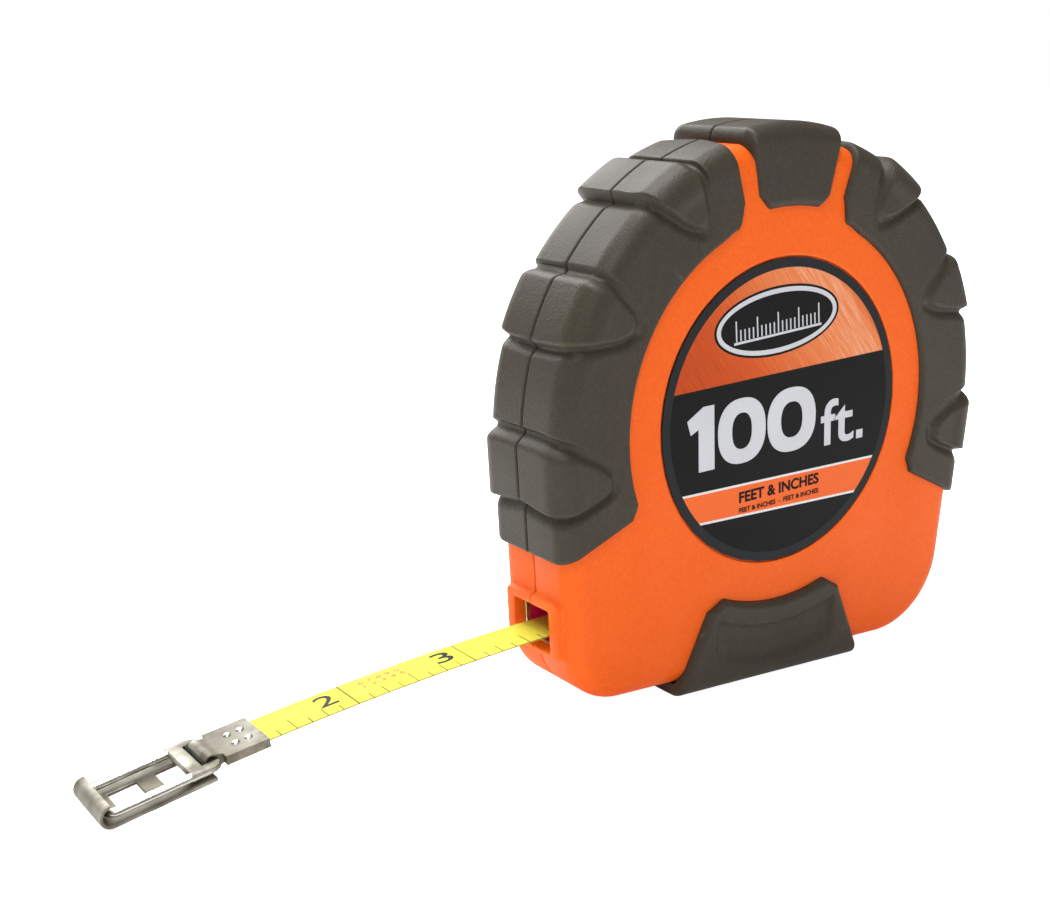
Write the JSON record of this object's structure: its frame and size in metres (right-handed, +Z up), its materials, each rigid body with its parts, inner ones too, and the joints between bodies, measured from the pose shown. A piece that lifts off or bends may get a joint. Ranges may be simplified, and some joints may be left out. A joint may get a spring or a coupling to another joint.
{
  "type": "surveyor's tape reel",
  "caption": "Closed-case surveyor's long steel tape reel with rubber grips, a round label, a geared folding rewind crank and a ring hook on a yellow blade.",
  "frame": {"origin": "middle of the base pad's flat sole, straight under the drum's axis", "axes": "+Z up, -X towards the mouth the blade leaves by, -Y towards the label side, +Y towards the crank side"},
  "size_m": [0.2044, 0.0346, 0.1168],
  "materials": {
    "case_plastic": "orange moulded ABS with a fine texture",
    "grip_rubber": "matte moulded rubber",
    "label_print": "printed and laminated",
    "blade_yellow": "yellow enamel on spring steel",
    "hook_nickel": "nickel plated",
    "steel": "plain",
    "gear_nylon": "natural moulded nylon",
    "drum_plastic": "dark red moulded plastic",
    "bronze": "sintered",
    "crank_plastic": "black moulded plastic"
  },
  "bodies": {
    "case": {"label_side_shell": "case_plastic", "crank_side_shell": "case_plastic", "front_grip_label_side": "grip_rubber", "front_grip_crank_side": "grip_rubber", "rear_grip_label_side": "grip_rubber", "rear_grip_crank_side": "grip_rubber", "top_pad_label_side": "grip_rubber", "top_pad_crank_side": "grip_rubber", "base_pad": "grip_rubber", "label_disc": "label_print", "mouth_liner": "steel", "ring_gear": "gear_nylon", "drum_axle": "steel", "drum_wave_washer": "steel", "case_screw_1": "steel", "case_screw_2": "steel", "case_screw_3": "steel", "case_screw_4": "steel", "case_screw_5": "steel", "crank_washer": "steel", "crank_retaining_screw": "steel"},
    "drum": {"drum_hub": "drum_plastic", "drum_bush": "bronze", "drum_flange_label_side": "drum_plastic", "drum_flange_crank_side": "drum_plastic", "tape_coil": "blade_yellow", "tape_tail_pin": "steel", "sun_gear": "gear_nylon"},
    "crank": {"crank_hub": "crank_plastic", "planet_carrier": "steel", "planet_pin_1": "steel", "planet_pin_2": "steel", "planet_pin_3": "steel", "crank_hinge_pin": "steel"},
    "planet_1": {"planet_gear_1": "gear_nylon"},
    "planet_2": {"planet_gear_2": "gear_nylon"},
    "planet_3": {"planet_gear_3": "gear_nylon"},
    "crank_handle": {"crank_arm": "crank_plastic", "knob_pin": "steel"},
    "knob": {"crank_knob": "crank_plastic"},
    "blade": {"tape_blade": "blade_yellow", "end_ferrule": "hook_nickel"},
    "ring": {"end_ring": "hook_nickel"},
    "hook": {"hook_plate": "hook_nickel"}
  },
  "joints": [
    {"name": "drum_spin", "type": "hinge", "parent": "case", "child": "drum", "pos_m": [0, 0, 0.058], "axis": [0, 1, 0], "continuous": true},
    {"name": "crank_spin", "type": "hinge", "parent": "case", "child": "crank", "pos_m": [0, 0, 0.058], "axis": [0, 1, 0], "continuous": true},
    {"name": "planet_1_spin", "type": "hinge", "parent": "crank", "child": "planet_1", "pos_m": [0, 0, 0.0706], "axis": [0, 1, 0], "continuous": true},
    {"name": "planet_2_spin", "type": "hinge", "parent": "crank", "child": "planet_2", "pos_m": [-0.01091, 0, 0.0517], "axis": [0, 1, 0], "continuous": true},
    {"name": "planet_3_spin", "type": "hinge", "parent": "crank", "child": "planet_3", "pos_m": [0.01091, 0, 0.0517], "axis": [0, 1, 0], "continuous": true},
    {"name": "crank_fold", "type": "hinge", "parent": "crank", "child": "crank_handle", "pos_m": [0.009, 0.0187, 0.058], "axis": [0, 0, -1], "range_deg": [0, 180]},
    {"name": "knob_spin", "type": "hinge", "parent": "crank_handle", "child": "knob", "pos_m": [-0.0273, 0, 0.058], "axis": [0, 1, 0], "continuous": true},
    {"name": "blade_slide", "type": "slide", "parent": "case", "child": "blade", "axis": [-1, 0, 0], "range_m": [0, 0.04]},
    {"name": "ring_pivot", "type": "hinge", "parent": "blade", "child": "ring", "pos_m": [-0.1243, 0, 0.00667], "axis": [0, 1, 0], "range_deg": [-30, 90]},
    {"name": "hook_fold", "type": "hinge", "parent": "ring", "child": "hook", "pos_m": [-0.14386, 0, 0.00252], "axis": [0, 1, 0], "range_deg": [0, 50]}
  ],
  "couplings": [
    {"joint": "crank_spin", "follows": "drum_spin", "ratio": 0.33333},
    {"joint": "planet_1_spin", "follows": "drum_spin", "ratio": -1.3333},
    {"joint": "planet_2_spin", "follows": "drum_spin", "ratio": -1.3333},
    {"joint": "planet_3_spin", "follows": "drum_spin", "ratio": -1.3333}
  ]
}
